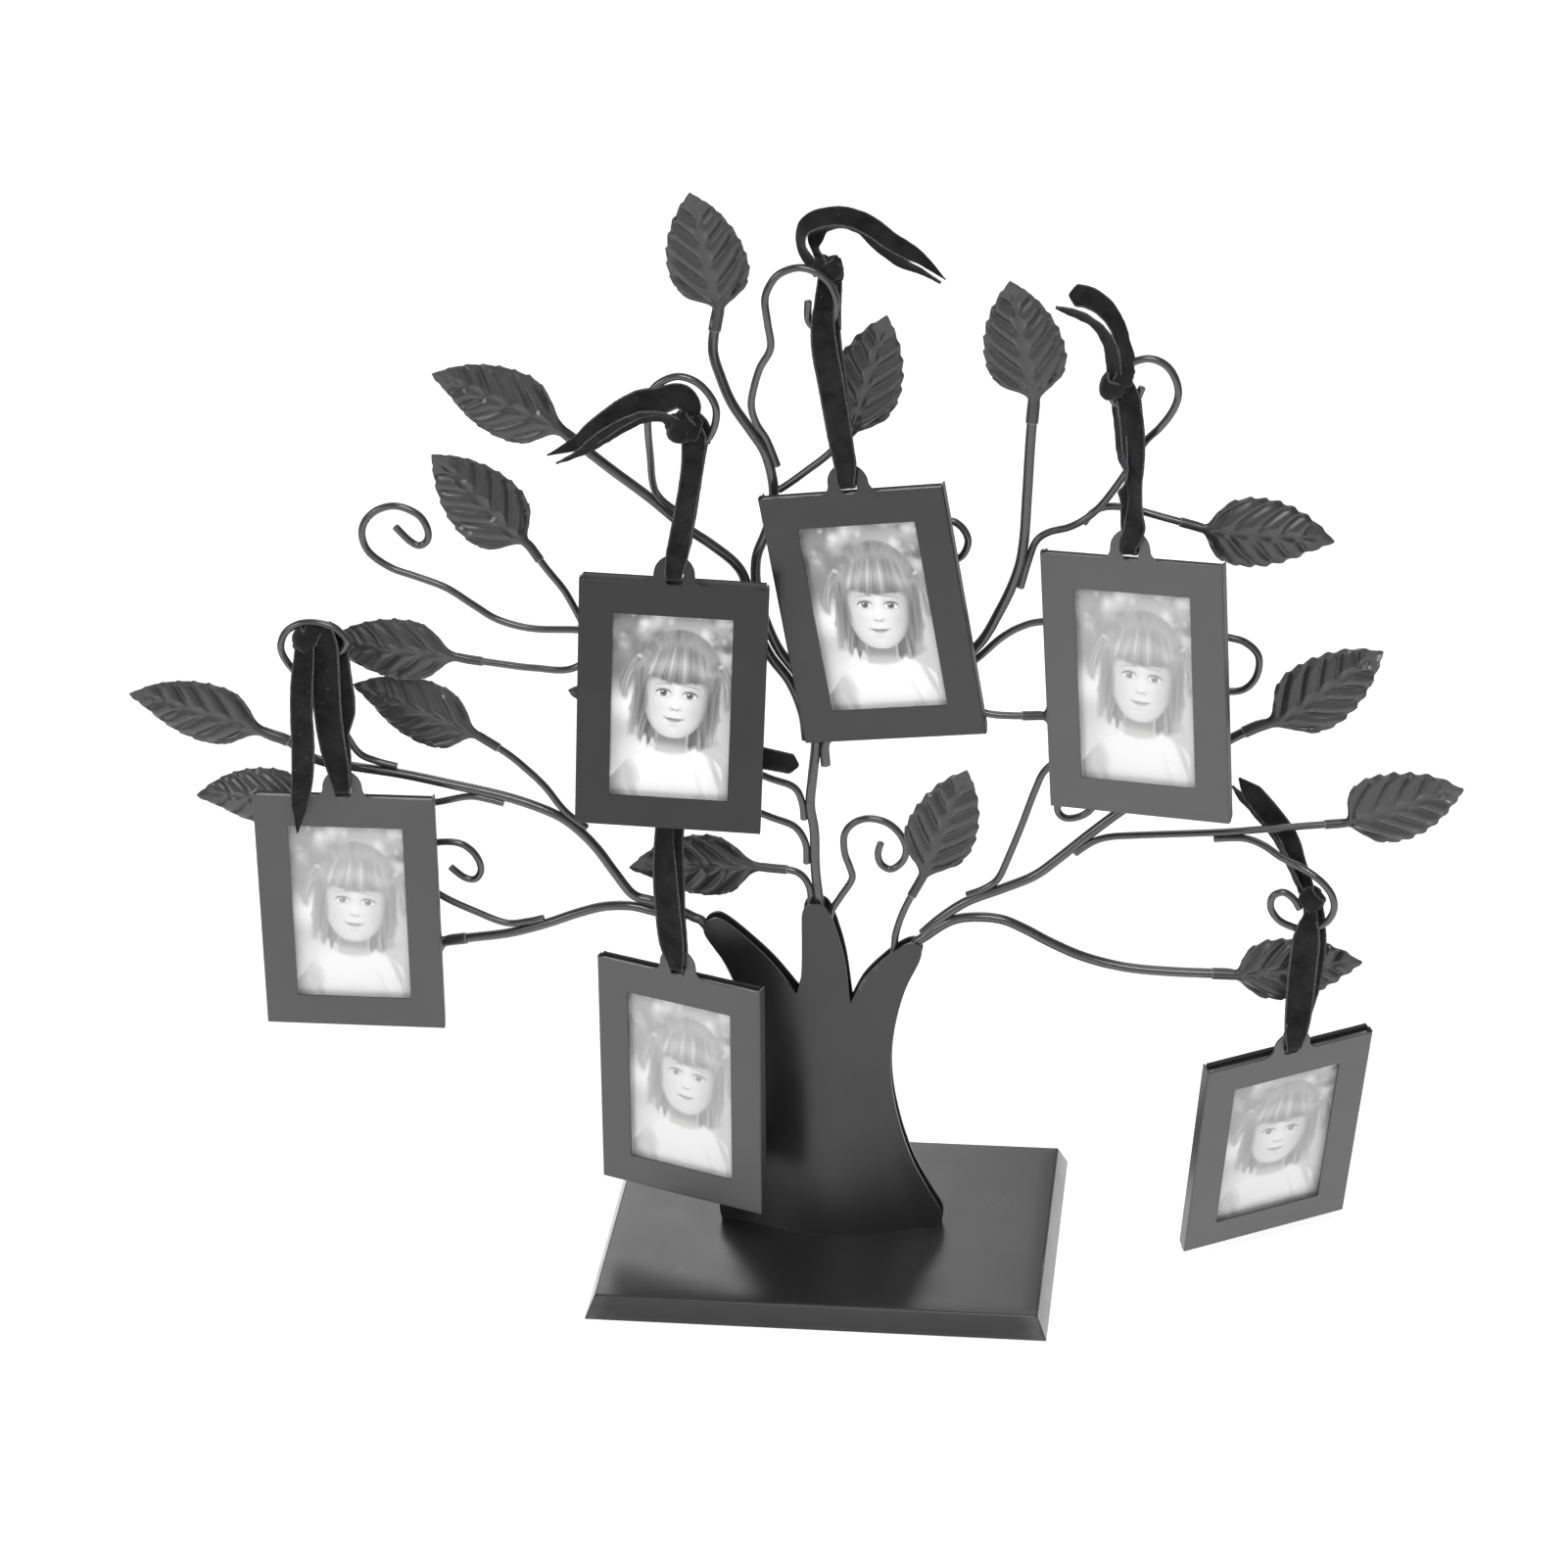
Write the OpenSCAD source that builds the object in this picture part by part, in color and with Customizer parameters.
// Photo tree stand: a bent-wire tree with pressed leaves on a low base,
// with six small picture frames hung from hooks by velvet ribbons.
// X runs to the viewer's right, Y away from the viewer, Z up.
// The origin is the middle of the base's underside.

/* [Base] */
// Width of the base's flat top
base_w = 136; // [120:1:150]
// Depth of the base's flat top
base_d = 94; // [84:1:104]
// Height of the base's top above the table
base_h = 7; // [6:0.5:7]
// How far each sloping side reaches out at the bottom
base_flare = 3; // [1:0.5:4]
// Thickness of the base's sheet metal
base_t = 1.2; // [1:0.1:1.5]

/* [Trunk] */
// Thickness of each trunk shell's sheet metal
trunk_t = 0.8; // [0.6:0.1:1]
// How far the shells bulge at the foot
trunk_bulge = 7.5; // [5:0.5:9]

/* [Wires] */
// Diameter of the branches
branch_wire_d = 3; // [2.8:0.1:3.1]
// Diameter of the hooks, stems and scrolls
thin_wire_d = 2.2; // [2:0.1:2.3]

/* [Leaves] */
// Length of a leaf's blade
leaf_l = 39; // [36:1:40]
// Width of a leaf's blade
leaf_w = 22; // [18:1:23]
// Thickness of a pressed leaf
leaf_t = 0.8; // [0.6:0.1:1]

/* [Frames] */
// Outside width of a frame
frame_w = 55; // [54:0.5:55]
// Outside height of a frame, without its tab
frame_h = 78; // [77:0.5:78]
// Width of the window
window_w = 35; // [32:0.5:38]
// Height of the window
window_h = 58; // [55:0.5:60]
// Depth of the folded shell
frame_d = 4.4; // [4.4:0.1:4.8]
// Thickness of the shell's sheet metal
frame_t = 0.6; // [0.5:0.1:0.6]

/* [Ribbons] */
// Width of the velvet ribbon
ribbon_w = 8.5; // [7:0.5:9]
// Thickness of the velvet ribbon
ribbon_t = 0.5; // [0.4:0.1:0.5]

/* [Hidden] */

metal = [0.20, 0.20, 0.21];
metal_light = [0.27, 0.27, 0.28];
velvet = [0.05, 0.05, 0.06];
felt = [0.12, 0.12, 0.12];
clear = [0.85, 0.9, 0.92, 0.35];
paper = [0.86, 0.86, 0.85];

br = branch_wire_d / 2;
tr = thin_wire_d / 2;

// Six frames: where the ribbon passes through the tab, then turn, lean and tilt
hole_at = [[-142, -14, 162.3], [-38.4, -16, 236.7], [11.9, -11, 264.5],
           [92, -12, 246.6], [-43, -14.5, 105.4], [142, -11, 83.8]];
turn = [2, 3, -7.5, -17, -18.5, 28];
lean = [1, 3.5, -9, -4.5, 0.5, -1.5];
tilt = [-2, -3, -0.5, -5.5, -2, 13.5];
// Six seats: the lowest point of each hook, where the ribbon hangs
seat_at = [[-142, -13, 208], [-30, -15, 279.5], [5, -12, 313],
           [90, -12, 292], [-42.5, -9, 166], [144, -11, 125]];
// How far each photo card stands above its shell
card_up = [0, 1.2, 0, 0, 0.6, 1.2];
// How far above the hole the two sides of each ribbon stay close together
ribbon_rise = [18.6, 19.6, 14.1, 14.1, 10.1, 8.1];

// ---------- small maths ----------
function unit(v) = v / norm(v);
// Smooth curve through the points p, with k steps between each two
function smooth_at(p, i, t) =
  let (n = len(p), a = p[max(i - 1, 0)], b = p[i], c = p[min(i + 1, n - 1)], d = p[min(i + 2, n - 1)])
  0.5 * (2 * b + (c - a) * t + (2 * a - 5 * b + 4 * c - d) * t * t + (3 * b - a - 3 * c + d) * t * t * t);
function smooth(p, k) =
  concat([for (i = [0:len(p) - 2]) for (j = [0:k - 1]) smooth_at(p, i, j / k)], [p[len(p) - 1]]);
function dir_at(q, i) = unit(q[min(i + 1, len(q) - 1)] - q[max(i - 1, 0)]);
function side_at(q, i) = unit(cross(dir_at(q, i), [0, 1, 0]));

// A round wire along the points p
module wire(p, r, k = 2, sides = 8) {
  q = smooth(p, k);
  n = len(q);
  pts = [for (i = [0:n - 1])
    let (b = side_at(q, i), u = cross(dir_at(q, i), b))
    for (s = [0:sides - 1])
      q[i] + r * (cos(360 * (s + 0.5) / sides) * b + sin(360 * (s + 0.5) / sides) * u)];
  faces = concat(
    [[for (s = [0:sides - 1]) s]],
    [for (i = [0:n - 2]) for (s = [0:sides - 1])
      [i * sides + s, (i + 1) * sides + s, (i + 1) * sides + (s + 1) % sides]],
    [for (i = [0:n - 2]) for (s = [0:sides - 1])
      [i * sides + s, (i + 1) * sides + (s + 1) % sides, i * sides + (s + 1) % sides]],
    [[for (s = [sides - 1:-1:0]) (n - 1) * sides + s]]);
  polyhedron(points = pts, faces = faces, convexity = 6);
}

// A flat strip of ribbon along the points p, face to the viewer, pointed at its far end
module strip(p, w, t, k = 2, tip = true) {
  q = smooth(p, k);
  n = len(q);
  pts = [for (i = [0:n - 1])
    let (b = side_at(q, i), u = cross(dir_at(q, i), b),
         f = tip ? (i == n - 1 ? 0.12 : (i == n - 2 ? 0.6 : 1)) : 1)
    for (c = [[-1, -1], [1, -1], [1, 1], [-1, 1]])
      q[i] + c[0] * f * w / 2 * b + c[1] * t / 2 * u];
  faces = concat(
    [[0, 1, 2, 3]],
    [for (i = [0:n - 2]) for (s = [0:3]) [i * 4 + s, (i + 1) * 4 + s, (i + 1) * 4 + (s + 1) % 4]],
    [for (i = [0:n - 2]) for (s = [0:3]) [i * 4 + s, (i + 1) * 4 + (s + 1) % 4, i * 4 + (s + 1) % 4]],
    [[for (s = [3:-1:0]) (n - 1) * 4 + s]]);
  polyhedron(points = pts, faces = faces, convexity = 6);
}

// ---------- base ----------
module frustum(w, d, h, f) {
  a = w / 2; b = d / 2; c = f;
  polyhedron(
    points = [[-a - c, -b - c, 0], [a + c, -b - c, 0], [a + c, b + c, 0], [-a - c, b + c, 0],
              [-a, -b, h], [a, -b, h], [a, b, h], [-a, b, h]],
    faces = [[0, 1, 2, 3], [7, 6, 5, 4], [0, 4, 5, 1], [1, 5, 6, 2], [2, 6, 7, 3], [3, 7, 4, 0]]);
}
module base_pan() {
  color(metal) difference() {
    frustum(base_w, base_d, base_h, base_flare);
    translate([0, 0, -0.01])
      frustum(base_w - 2 * base_t, base_d - 2 * base_t, base_h - base_t, base_flare);
  }
}
module base_underpad() {
  color(felt) translate([0, 0, 0.75])
    cube([base_w + 2 * base_flare - 6, base_d + 2 * base_flare - 6, 1.5], center = true);
}

// ---------- trunk ----------
trunk_outline = [
  [-34.5, 7], [-35, 13], [-31, 21], [-26, 32], [-22, 45], [-20, 58], [-20, 70], [-22, 83],
  [-27, 94], [-30, 100], [-33.5, 105.5], [-36.5, 110.5], [-36, 113.5], [-33, 116], [-30, 115],
  [-24, 110], [-15.5, 101], [-8.5, 91], [-7, 95], [-6.5, 105], [-6.3, 115], [-6, 119.5],
  [-4.5, 121.8], [-1, 122.5], [1.5, 121.5], [4, 114.5], [6.5, 103.5], [8, 88.5], [11, 95],
  [19, 104.5], [25.5, 109.5], [28.5, 109.5], [29.8, 107], [29, 103.5], [25, 94], [22, 83],
  [20, 70], [20, 58], [22, 45], [26, 32], [31, 21], [35, 13], [34.5, 7]];
function trunk_half(z) = 20 + 15 * pow(max(0, (58 - z) / 51), 1.5) + 14 * pow(max(0, (z - 72) / 44), 1.6);
function trunk_out(x, z) =
  let (b = 0.8 + (trunk_bulge - 0.8) * pow(max(0, 1 - (z - 7) / 100), 1.4),
       c = 0.86 * trunk_half(z))
  1.6 + (abs(x) < c ? b * pow(cos(90 * x / c), 1.5) : 0);
// A curved sheet that carries the bulge, cut by the outline
module trunk_sheet() {
  nx = 20; nz = 9;
  xs = [for (i = [0:nx]) -40 + 80 * i / nx];
  zs = [for (j = [0:nz]) 6 + 118 * j / nz];
  function id(i, j, k) = (j * (nx + 1) + i) * 2 + k;
  pts = [for (j = [0:nz]) for (i = [0:nx]) for (k = [0, 1])
    [xs[i], -trunk_out(xs[i], zs[j]) - k * trunk_t, zs[j]]];
  quads = concat(
    [for (j = [0:nz - 1]) for (i = [0:nx - 1]) [id(i, j, 0), id(i + 1, j, 0), id(i + 1, j + 1, 0), id(i, j + 1, 0)]],
    [for (j = [0:nz - 1]) for (i = [0:nx - 1]) [id(i, j, 1), id(i, j + 1, 1), id(i + 1, j + 1, 1), id(i + 1, j, 1)]],
    [for (j = [0:nz - 1]) [id(0, j, 0), id(0, j + 1, 0), id(0, j + 1, 1), id(0, j, 1)]],
    [for (j = [0:nz - 1]) [id(nx, j, 0), id(nx, j, 1), id(nx, j + 1, 1), id(nx, j + 1, 0)]],
    [for (i = [0:nx - 1]) [id(i, 0, 0), id(i, 0, 1), id(i + 1, 0, 1), id(i + 1, 0, 0)]],
    [for (i = [0:nx - 1]) [id(i, nz, 0), id(i + 1, nz, 0), id(i + 1, nz, 1), id(i, nz, 1)]]);
  tris = [for (f = quads) for (g = [[f[0], f[1], f[2]], [f[0], f[2], f[3]]]) g];
  polyhedron(points = pts, faces = tris, convexity = 6);
}
module trunk_cut() {
  rotate([90, 0, 0]) translate([0, 0, -30]) linear_extrude(60) polygon(trunk_outline);
}
module trunk_front_shell() {
  color(metal) translate([0, 0, base_h - 7]) intersection() { trunk_sheet(); trunk_cut(); }
}
module trunk_back_shell() {
  color(metal) translate([0, 0, base_h - 7]) mirror([0, 1, 0]) intersection() { trunk_sheet(); trunk_cut(); }
}

// ---------- branches ----------
center_pts = [[2, 0, 60], [1, 0, 90], [-1, 0, 120], [-2, 0, 133], [-2, 0, 146], [-3, 0, 155],
  [-2, 0, 165], [-0.8, 0, 176], [-1.2, 0, 186], [-4.9, 0, 197.3], [-11.1, 0, 206.8], [-15, 0, 217.2], [-16.9, 0, 227],
  [-16.6, 0, 236], [-13.8, 0, 243.5], [-11.6, 0, 250], [-11, 0, 259], [-13, 0, 269], [-17, 0, 276], [-22, 0, 284], [-25, 0, 292], [-27, 0, 301], [-25, 0, 313]];
upper_left_pts = [[-3.6, 0, 177], [-4.5, 0, 186], [-8, 0, 196], [-14, 0, 205], [-18, 0, 216],
  [-20, 0, 228], [-23, 0, 234], [-30, 0, 240], [-37, 0, 245], [-47, 0, 254], [-57, 0, 262], [-63, 0, 267], [-70, 0, 273]];
upper_right_pts = [[2, 0, 169], [8, 0, 177], [20, 0, 187], [33, 0, 197], [47, 0, 209], [54, 0, 221],
  [59, 0, 233], [61, 0, 243], [62, 0, 258], [63, 0, 275], [64, 0, 287]];
left_pts = [[-22, 0, 76], [-28, 0, 96], [-36, 0, 112], [-40, 0, 115], [-46, 0, 118], [-52, 0, 120],
  [-58, 0, 122], [-63, 0, 129], [-68, 0, 137], [-73, 0, 143], [-79, 0, 148], [-88, 0, 152], [-98, 0, 155],
  [-112, 0, 158], [-127, 0, 161], [-142, 0, 163], [-153, 0, 165], [-161, 0, 171], [-167, 0, 173]];
left_low_pts = [[-42, 0, 114], [-46, 0, 115], [-52, 0, 116.5], [-59, 0, 118], [-67, 0, 117.5], [-75, 0, 115],
  [-86, 0, 110.5], [-97, 0, 107], [-108, 0, 105], [-117, 0, 103.5]];
right_pts = [[30, 0, 112], [36, 0, 118], [44, 0, 124], [55, 0, 129], [64, 0, 133.5], [71, 0, 139.5],
  [80, 0, 148], [89, 0, 156], [100, 0, 165], [111, 0, 174], [122, 0, 182], [131, 0, 187]];
right_low_pts = [[15, 0, 72], [20, 0, 90], [26, 0, 106], [32, 0, 112], [39, 0, 117], [46, 0, 118.5], [54, 0, 118],
  [61, 0, 115], [69, 0, 110.5], [79, 0, 106], [91, 0, 103], [105, 0, 102], [124, 0, 102]];

module branch_center() { color(metal) wire(center_pts, br, 3); }
module branch_upper_left() { color(metal) wire(upper_left_pts, br, 2); }
module branch_upper_right() { color(metal) wire(upper_right_pts, br, 3); }
module branch_left() { color(metal) wire(left_pts, br, 2); }
module branch_left_low() { color(metal) wire(left_low_pts, br, 3); }
module branch_right() { color(metal) wire(right_pts, br, 3); }
module branch_right_low() { color(metal) wire(right_low_pts, br, 3); }

// ---------- hooks ----------
hook_pts = [
  [[-128, 0, 163.5], [-134, 0, 165], [-139, -1, 168], [-142, -3, 175], [-145, -6, 185], [-149, -9, 194],
   [-153, -11, 199], [-156, -12, 204], [-157, -13, 209], [-155, -13, 214], [-150, -13, 217], [-144, -13, 217],
   [-139.5, -13, 215], [-137, -13, 211.5], [-139, -13, 208.2], [-141, -13, 208], [-143, -13, 208],
   [-145, -13, 208.2], [-147.5, -13, 210.5], [-148, -13, 213]],
  [[-40, 0, 250.5], [-43, -1, 253.5], [-45, -2, 257], [-45.5, -4, 262], [-45, -8, 270], [-44.5, -13, 280],
   [-44, -15, 287], [-43, -15, 293], [-40, -15, 296.5], [-35, -15, 298.5], [-30, -15, 297], [-26.5, -15, 293.5],
   [-24.5, -15, 289], [-25, -15, 284], [-27, -15, 279.8], [-29, -15, 279.5], [-31, -15, 279.5],
   [-33, -15, 279.8], [-35.5, -15, 282.5], [-36, -15, 286]],
  [[-9.6, 0, 265], [-12.4, 0, 273], [-15, -2, 279], [-16, -4, 285], [-15, -6, 291], [-12.5, -9, 299],
   [-9, -11, 306], [-9.5, -12, 314], [-10, -12, 321], [-8, -12, 326], [-5, -12, 329], [0, -12, 330.5],
   [5, -12, 329], [8.5, -12, 325.5], [10, -12, 320], [8, -12, 313.5], [6, -12, 313], [4, -12, 313],
   [2, -12, 313.2], [0, -12, 316], [0.5, -12, 322]],
  [[60, 0, 228.5], [62.6, 0.5, 238], [64.5, 1, 243], [68, 1.5, 245.7], [74, 2, 247.3], [79, 2, 250.3],
   [83, 1.5, 254.5], [87, 0, 260.7], [91, -3, 268.3], [95.5, -7, 278], [100, -11, 284.5], [103.5, -12, 290],
   [105, -12, 295], [104, -12, 300], [101, -12, 304], [96, -12, 305.5], [90, -12, 303], [86.5, -12, 298],
   [87, -12, 292.5], [89, -12, 292], [91, -12, 292], [93, -12, 292.5], [95, -12, 297]],
  [[-4.6, 0, 135], [-4.8, 0, 142], [-8, 0, 147.5], [-15, -1, 151], [-23, -3, 156], [-28, -5, 163],
   [-30.5, -7, 170], [-33, -8, 177], [-37.5, -9, 180.5], [-43, -9, 180], [-47, -9, 176.5], [-48.5, -9, 171],
   [-45.5, -9, 166.3], [-43.5, -9, 166], [-41.5, -9, 166], [-39.5, -9, 166.5], [-37.5, -9, 169.5]],
  [[117, 0, 148.1], [122, 0, 148.6], [127, -1, 149], [132, -3, 148], [137, -6, 146], [143, -9, 144.5],
   [148.5, -11, 141.5], [152, -11, 137], [153, -11, 132], [151, -11, 127.5], [147, -11, 125.3], [145, -11, 125],
   [143, -11, 125], [141, -11, 125.4], [137, -11, 127.5], [134.5, -11, 131.5], [135, -11, 135.5],
   [138, -11, 137], [141, -11, 135], [143, -11, 131.5]]];
module hook_1() { color(metal) wire(hook_pts[0], tr); }
module hook_2() { color(metal) wire(hook_pts[1], tr); }
module hook_3() { color(metal) wire(hook_pts[2], tr); }
module hook_4() { color(metal) wire(hook_pts[3], tr); }
module hook_5() { color(metal) wire(hook_pts[4], tr); }
module hook_6() { color(metal) wire(hook_pts[5], tr); }

// ---------- scrolls ----------
scroll_left_pts = [
  [[-123, 0, 243], [-119, 0, 238.5], [-116, 0, 237], [-113.5, 0, 239], [-113.5, 0, 243], [-116, 0, 247],
   [-122, 0, 249.5], [-128, 0, 248], [-132, 0, 244], [-133, 0, 239], [-131, 0, 234], [-125, 0, 229.5],
   [-118, 0, 227], [-109, 0, 223.5], [-101, 0, 218], [-94, 0, 213.5], [-84, 0, 211], [-70, 0, 211],
   [-50, 0, 210.5], [-30, 0, 209], [-17, 0, 210]],
  [[-86, 0, 112.7], [-91, 0, 111.3], [-98, 0, 110.5], [-107, 0, 114], [-117, 0, 119], [-124, 0, 125],
   [-126, 0, 131], [-122.5, 0, 136], [-116, 0, 138], [-110, 0, 137.5], [-106, 0, 134], [-104.5, 0, 129],
   [-106.5, 0, 125.5], [-110, 0, 126], [-114, 0, 129.5]]];
scroll_right_pts = [
  [[1.9, 0, 113], [2.2, 0, 118], [5.5, 0, 124], [9, 0, 130], [8.5, 0, 134], [7, 0, 139], [7, 0, 145], [9.5, 0, 149],
   [14, 0, 151], [19.5, 0, 150], [23.5, 0, 146.5], [25.5, 0, 141.5], [24.5, 0, 137], [21, 0, 134], [18, 0, 135.5],
   [17, 0, 139], [18, 0, 143]],
  [[41, 0, 200], [48, 0, 206], [54, 0, 212], [60, 0, 216], [67, 0, 218], [85, 0, 219], [105, 0, 217.5],
   [120, 0, 214.5], [125, 0, 213], [128.5, 0, 209.5], [129, 0, 205], [127.5, 0, 200.5], [124, 0, 197.5], [118, 0, 197]],
  [[43.5, 0, 126], [49, 0, 128.5], [53, 0, 132], [56, 0, 139], [60, 0, 150], [64, 0, 162], [67, 0, 169],
   [72, 0, 173], [78, 0, 173], [82.5, 0, 169], [83, 0, 162], [80.5, 0, 156.5], [77, 0, 154], [73, 0, 153.5],
   [70.8, 0, 156], [71.5, 0, 160]],
  [[-6, 0, 201], [-3, 0, 206.5], [3, 0, 214], [10, 0, 222], [20, 0, 232], [32, 0, 244], [39, 0, 249], [43, 0, 247.5], [45, 0, 243],
   [43, 0, 238], [38, 0, 236]]];
module scrolls_left() { color(metal) for (p = scroll_left_pts) wire(p, tr); }
module scrolls_right() { color(metal) for (p = scroll_right_pts) wire(p, tr); }

// ---------- leaf stems ----------
stem_left_pts = [
  [[-71, 0, 144.5], [-76, 0, 148.5], [-79, 0, 152], [-83, 0, 158], [-88, 0, 163.5], [-94, 0, 169], [-102, 0, 174.5]],
  [[-96, 0, 152], [-101, 0, 153.3], [-107, 0, 154], [-118, 0, 151.5], [-136, 0, 149.5], [-156, 0, 151]],
  [[-69, 0, 213.5], [-71, 0, 218], [-74, 0, 224], [-79, 0, 231], [-84, 0, 239]],
  [[-60, 0, 209], [-72, 0, 198.5], [-84, 0, 198], [-94, 0, 199], [-106, 0, 200.5]],
  [[-5, 0, 150], [-5.5, 0, 156], [-8, 0, 161], [-16, 0, 164], [-25, 0, 169], [-35, 0, 177.5]],
  [[-3.5, 0, 120], [-4.2, 0, 127.5], [-8, 0, 132], [-17, 0, 133]]];
stem_right_pts = [
  [[78, 2.6, 248.2], [80.5, 3, 251.5], [84.5, 2.4, 253.8], [91, 1.4, 254], [100, 0.5, 252], [112, 0, 249]],
  [[25, 0, 189.5], [34, 0, 193], [42, 0, 190.5], [50, 0, 187.5], [58, 0, 187], [67, 0, 187.5]],
  [[76, 0, 141.5], [81, 0, 145.5], [86, 0, 147.5], [95, 0, 148.5], [120, 0, 150.5], [140, 0, 153], [156, 0, 155]],
  [[18, 0, 94], [21, 0, 104], [22, 0, 112], [25, 0, 121], [30, 0, 131]],
  [[-9.5, 0, 257.5], [-6, 0, 260], [-1, 0, 264], [5, 0, 269], [12.5, 0, 277]]];
module stems_left() { color(metal) for (p = stem_left_pts) wire(p, tr, 3); }
module stems_right() { color(metal) for (p = stem_right_pts) wire(p, tr, 3); }

// ---------- leaves ----------
// Half-width of the blade at s, from 0 at the base to 1 at the tip, with small teeth
function blade(s, w) = w / 2 * pow(sin(180 * pow(s, 0.82)), 0.85);
leaf_teeth = 8;
function tooth_side(g, w) = concat([[1.2, 0]],
  [for (i = [0:leaf_teeth - 1]) for (j = [0, 1])
    let (s = 0.06 + 0.9 * (i + j * 0.82) / leaf_teeth)
    [g * (blade(s, w) * (j == 1 ? 1.05 : 0.97) + 0.25), s * leaf_l]]);
// The flat pattern: a blade that starts at the origin and points along +Y, with a tail behind
module leaf_pattern(w) {
  a = tooth_side(1, w);
  b = tooth_side(-1, w);
  polygon(concat([[1.4, -9], [1.4, 0]], [for (q = a) if (q[1] > 0) q], [[0, leaf_l]],
    [for (i = [len(b) - 1:-1:1]) b[i]], [[-1.4, 0], [-1.4, -9]]));
}
// at: the blade's base; aim: its angle from +X in the tree's plane; fore: how much its tip comes forward;
// wide: how much wider than leaf_w this one is
// the tail stays in the wires' plane, so a leaf that leans is bent at its base
module leaf_flat() { rotate([90, 0, 0]) rotate([0, 0, -90]) translate([0, 0, -leaf_t / 2]) linear_extrude(leaf_t) children(); }
module leaf(at, aim, fore = 0, twist = 0, wide = 0) {
  translate(at) rotate([0, -aim, 0]) {
    if (fore == 0 && twist == 0) leaf_flat() leaf_pattern(leaf_w + wide);
    else {
      leaf_flat() translate([-1.4, -9]) square([2.8, 10.2]);
      rotate([0, 0, -fore]) rotate([twist, 0, 0]) leaf_flat() intersection() {
        leaf_pattern(leaf_w + wide);
        translate([-20, -0.3]) square([40, 60]);
      }
    }
  }
}
module leaves_top() {
  color(metal_light) {
    leaf([-25, -1.8, 313], 98, 8, 0, 1);
    leaf([12, -1.4, 276], 74, 0, 10, -1);
    leaf([64, -1.8, 288], 99, 6, 0, 1);
  }
}
module leaves_left_high() {
  color(metal_light) {
    leaf([-73, -1.8, 276.5], 159, -9, 0);
    leaf([-85, -1.4, 238.5], 129, 4, 12);
    leaf([-109, -1.4, 202], 177, -5, 0, -2);
    leaf([-104, -1.2, 176], 161, -11, 0, -1);
  }
}
module leaves_left_low() {
  color(metal_light) {
    leaf([-170, -1.8, 176], 162, 2, 0, -2);
    leaf([-154, -1.4, 151.5], 184, -12, 0, -2);
    leaf([-116, -1.8, 103.5], 187, 0, 0, -1);
    leaf([-21.5, -1.4, 134], 188, -12, 0, -1);
    leaf([-37, -1.4, 180], 164, -6, 0);
  }
}
module leaves_right() {
  color(metal_light) {
    leaf([112, -1.4, 249], -10, -16, 0);
    leaf([134.5, -1.8, 187.5], 40, -2, 0);
    leaf([155, -1.4, 155.5], 27, 10, 0, 1);
    leaf([124, -1.8, 102], 13, 2, 0, -1);
    leaf([31, -1.4, 133.5], 70, 0, 0, -1);
    leaf([65, -1.4, 187], 6, -3, 0, -1);
  }
}

// ---------- ribbon bows that stay on the hooks ----------
module knot(at) { translate(at) sphere(r = 3.7, $fn = 12); }
module bows_left() {
  color(velvet) {
    knot([-144, -13, 215.5]);
    knot([-37.5, -15.5, 284]);
    strip([[-32, -15, 286], [-35, -15, 291], [-41, -15, 292], [-47, -15, 289.5], [-53, -15, 286], [-59, -15, 282], [-66, -15, 277], [-74, -15, 273]], 5, 1);
    strip([[-37, -17, 286], [-44, -17, 287], [-51, -17, 284], [-57, -17, 280], [-63, -17, 276], [-70, -17, 271]], 5, 1);
    knot([-39, -9, 172]);
    strip([[-36, -9, 173], [-28, -9, 175], [-20, -8, 175], [-12, -8, 173.5], [-5, -8, 170]], 5, 1);
  }
}
module bows_right() {
  color(velvet) {
    knot([9.5, -12, 326.5]);
    strip([[7, -12, 329], [1, -12, 332], [-1, -12, 338], [3, -12, 343], [10, -12, 345], [17, -12, 344], [23, -12, 341], [28, -12, 337], [34, -12, 333], [41, -12, 328]], 4.5, 1);
    strip([[11, -10, 329], [15, -10, 334], [21, -10, 336], [27, -10, 333], [33, -10, 330], [40, -10, 326]], 4.5, 1);
    knot([88.5, -12.5, 299]);
    strip([[89, -12, 301], [90, -12, 308], [89, -12, 315], [85, -12, 321], [79, -12, 324], [73, -12, 323]], 5, 1);
    strip([[87, -14, 301], [86, -14, 308], [82, -14, 314], [77, -14, 318], [70, -14, 321]], 5, 1);
    knot([146.5, -9, 133]);
    strip([[145, -7, 135], [142.5, -1.5, 141], [138.5, 3.5, 147.5], [132, 6, 155.5], [124, 6.5, 165]], 5, 1);
  }
}

// ---------- a hanging frame ----------
module place(i) {
  translate(hole_at[i]) rotate([0, 0, turn[i]]) rotate([tilt[i], 0, 0]) rotate([0, lean[i], 0])
    translate([0, 0, -hole_up]) children();
}
hole_up = 39 + 2.5;
// World direction into the frame's own directions
function un_z(v, a) = [cos(a) * v[0] + sin(a) * v[1], -sin(a) * v[0] + cos(a) * v[1], v[2]];
function un_x(v, a) = [v[0], cos(a) * v[1] + sin(a) * v[2], -sin(a) * v[1] + cos(a) * v[2]];
function un_y(v, a) = [cos(a) * v[0] - sin(a) * v[2], v[1], sin(a) * v[0] + cos(a) * v[2]];
function seat_in(i) = un_y(un_x(un_z(seat_at[i] - hole_at[i], turn[i]), tilt[i]), lean[i]);

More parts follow.
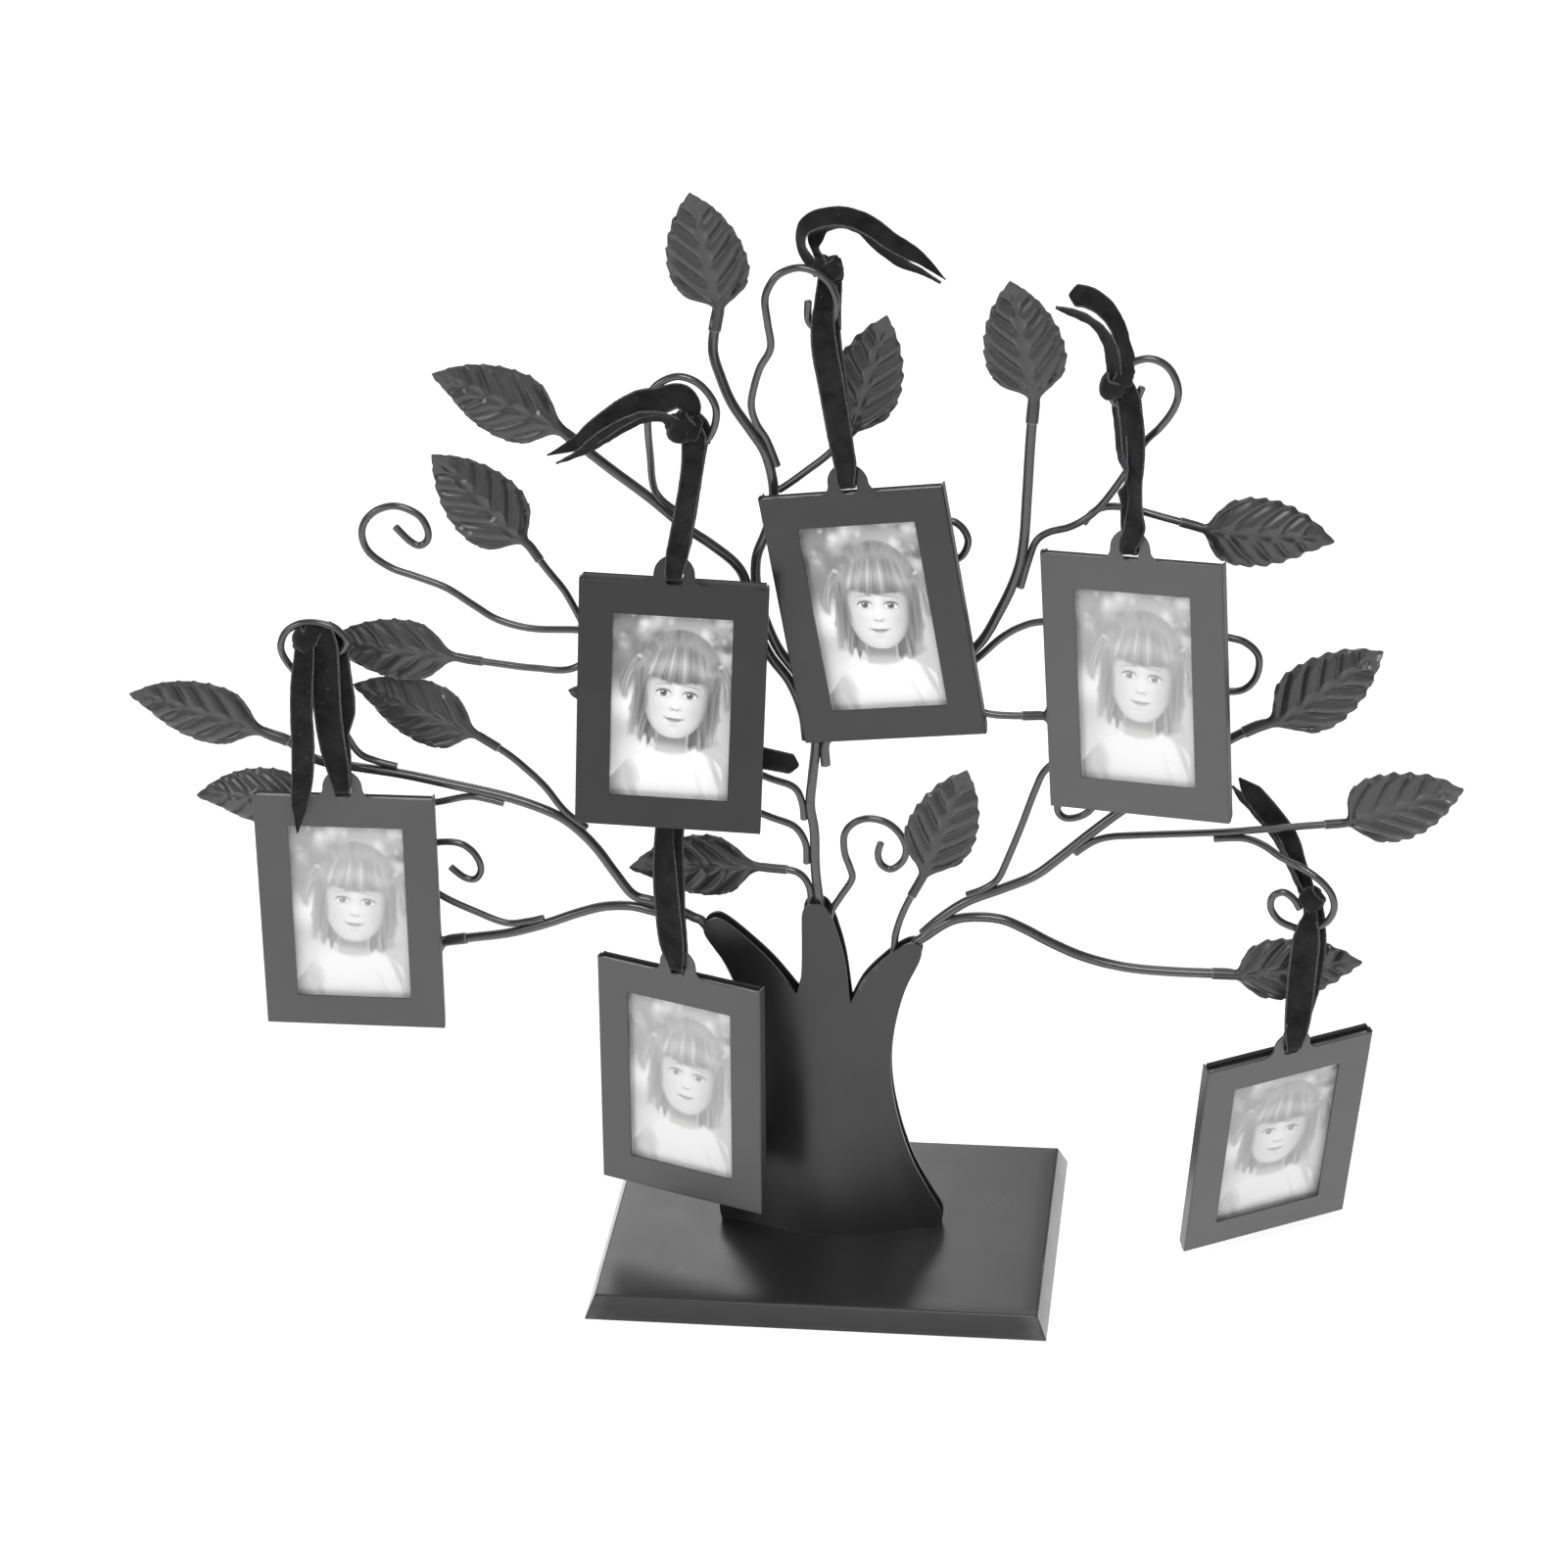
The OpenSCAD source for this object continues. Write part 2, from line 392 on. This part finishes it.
// Front outline of the tab, in the frame's own X and Z
module tab_outline() {
  difference() {
    union() {
      translate([-9.1, 38]) square([18.2, 4.1]);
      intersection() {
        translate([0, 42.1]) circle(r = 6, $fn = 64);
        translate([-7, 42]) square([14, 7]);
      }
    }
    translate([-9.1, 42.1]) circle(r = 3.1, $fn = 48);
    translate([9.1, 42.1]) circle(r = 3.1, $fn = 48);
    hull() {
      for (g = [-1, 1]) {
        translate([g * 1.1, 40.1]) circle(r = 1.3, $fn = 32);
        translate([g * 1.9, 42.3]) circle(r = 0.8, $fn = 24);
      }
    }
  }
}
module front_plate() {
  rotate([90, 0, 0]) translate([0, 0, -frame_t]) linear_extrude(frame_t) union() {
    difference() {
      square([frame_w, frame_h], center = true);
      square([window_w, window_h], center = true);
    }
    tab_outline();
  }
}
module shell() {
  w = frame_w / 2; h = frame_h / 2; t = frame_t; d = frame_d; lip = 5;
  front_plate();
  for (s = [-1, 1]) {
    translate([s > 0 ? w - t : -w, 0, -h]) cube([t, d, frame_h]);
    translate([s > 0 ? w - lip : -w, d - t, -h]) cube([lip, t, frame_h - 3]);
  }
  translate([-w, 0, -h]) cube([frame_w, d, t]);
  translate([-w, d - t, -h]) cube([frame_w, t, lip]);
}
in_w = frame_w - 2 * frame_t - 0.6;
in_z = -frame_h / 2 + frame_t + 0.1;
module cover(i) {
  place(i) translate([-in_w / 2, 1.5, in_z]) cube([in_w, 0.7, frame_h / 2 - in_z - 0.2]);
}
module card(i) {
  place(i) translate([-in_w / 2, 2.25, in_z]) cube([in_w, 1.25, frame_h / 2 - in_z - 0.2 + card_up[i]]);
}
// The ribbon's loop: through the tab's hole, up both sides of the tab, to just under the seat
module loop(i) {
  k = seat_in(i);
  t = ribbon_t; zt = k[2] - 3.4; g = 1.5; zr = ribbon_rise[i];
  place(i) translate([0, 0, hole_up]) intersection() {
    rotate([90, 0, 90]) translate([0, 0, -20]) linear_extrude(40) difference() {
      polygon([[-0.3 - t, -t / 2], [0.7 + t, -t / 2], [0.7 + t, zr], [k[1] + g + t, zt - 4], [k[1] + g + t, zt],
               [k[1] - g - t, zt], [k[1] - g - t, zt - 4], [-0.3 - t, zr]]);
      polygon([[-0.3, t / 2], [0.7, t / 2], [0.7, zr], [k[1] + g, zt - 4], [k[1] + g, zt - t],
               [k[1] - g, zt - t], [k[1] - g, zt - 4], [-0.3, zr]]);
    }
    rotate([90, 0, 0]) translate([0, 0, -20]) linear_extrude(40)
      polygon([[-2.4, -1], [2.4, -1], [2.4, 1], [ribbon_w / 2, 8], [k[0] + ribbon_w / 2, zt - 9], [k[0] + 2.6, zt + 1],
               [k[0] - 2.6, zt + 1], [k[0] - ribbon_w / 2, zt - 9], [-ribbon_w / 2, 8], [-2.4, 1]]);
  }
}
// The turn of the ribbon over the wire
module eye(i) {
  translate(seat_at[i]) rotate([0, 90, 0]) difference() {
    cylinder(r = 2.6, h = 4.6, center = true, $fn = 40);
    cylinder(r = 1.7, h = 6, center = true, $fn = 40);
  }
}

module ribbon_eye_1() {
  color(velvet) {
    eye(0);
    // a stitch of ribbon joins the turn to the tail that hangs in front of the frame
    strip([[-143.5, -15.2, 208], [-147, -17, 204], [-149, -19, 197], [-150, -20, 188], [-151, -20.5, 178], [-153, -20.5, 167], [-155, -20.5, 158], [-157, -20.5, 149]], 4.5, 0.8);
  }
}
module ribbon_eye_2() { color(velvet) eye(1); }
module ribbon_eye_3() { color(velvet) eye(2); }
module ribbon_eye_4() { color(velvet) eye(3); }
module ribbon_eye_5() { color(velvet) eye(4); }
module ribbon_eye_6() { color(velvet) eye(5); }
module ribbon_loop_1() { color(velvet) loop(0); }
module ribbon_loop_2() { color(velvet) loop(1); }
module ribbon_loop_3() { color(velvet) loop(2); }
module ribbon_loop_4() { color(velvet) loop(3); }
module ribbon_loop_5() { color(velvet) loop(4); }
module ribbon_loop_6() { color(velvet) loop(5); }
module frame_shell_1() { color(metal) place(0) shell(); }
module frame_shell_2() { color(metal) place(1) shell(); }
module frame_shell_3() { color(metal) place(2) shell(); }
module frame_shell_4() { color(metal) place(3) shell(); }
module frame_shell_5() { color(metal) place(4) shell(); }
module frame_shell_6() { color(metal) place(5) shell(); }
module clear_cover_1() { color(clear) cover(0); }
module clear_cover_2() { color(clear) cover(1); }
module clear_cover_3() { color(clear) cover(2); }
module clear_cover_4() { color(clear) cover(3); }
module clear_cover_5() { color(clear) cover(4); }
module clear_cover_6() { color(clear) cover(5); }
module photo_card_1() { color(paper) card(0); }
module photo_card_2() { color(paper) card(1); }
module photo_card_3() { color(paper) card(2); }
module photo_card_4() { color(paper) card(3); }
module photo_card_5() { color(paper) card(4); }
module photo_card_6() { color(paper) card(5); }

base_pan();
base_underpad();
trunk_front_shell();
trunk_back_shell();
branch_center();
branch_upper_left();
branch_upper_right();
branch_left();
branch_left_low();
branch_right();
branch_right_low();
hook_1();
hook_2();
hook_3();
hook_4();
hook_5();
hook_6();
scrolls_left();
scrolls_right();
stems_left();
stems_right();
leaves_top();
leaves_left_high();
leaves_left_low();
leaves_right();
bows_left();
bows_right();
ribbon_eye_1();
ribbon_loop_1();
frame_shell_1();
clear_cover_1();
photo_card_1();
ribbon_eye_2();
ribbon_loop_2();
frame_shell_2();
clear_cover_2();
photo_card_2();
ribbon_eye_3();
ribbon_loop_3();
frame_shell_3();
clear_cover_3();
photo_card_3();
ribbon_eye_4();
ribbon_loop_4();
frame_shell_4();
clear_cover_4();
photo_card_4();
ribbon_eye_5();
ribbon_loop_5();
frame_shell_5();
clear_cover_5();
photo_card_5();
ribbon_eye_6();
ribbon_loop_6();
frame_shell_6();
clear_cover_6();
photo_card_6();
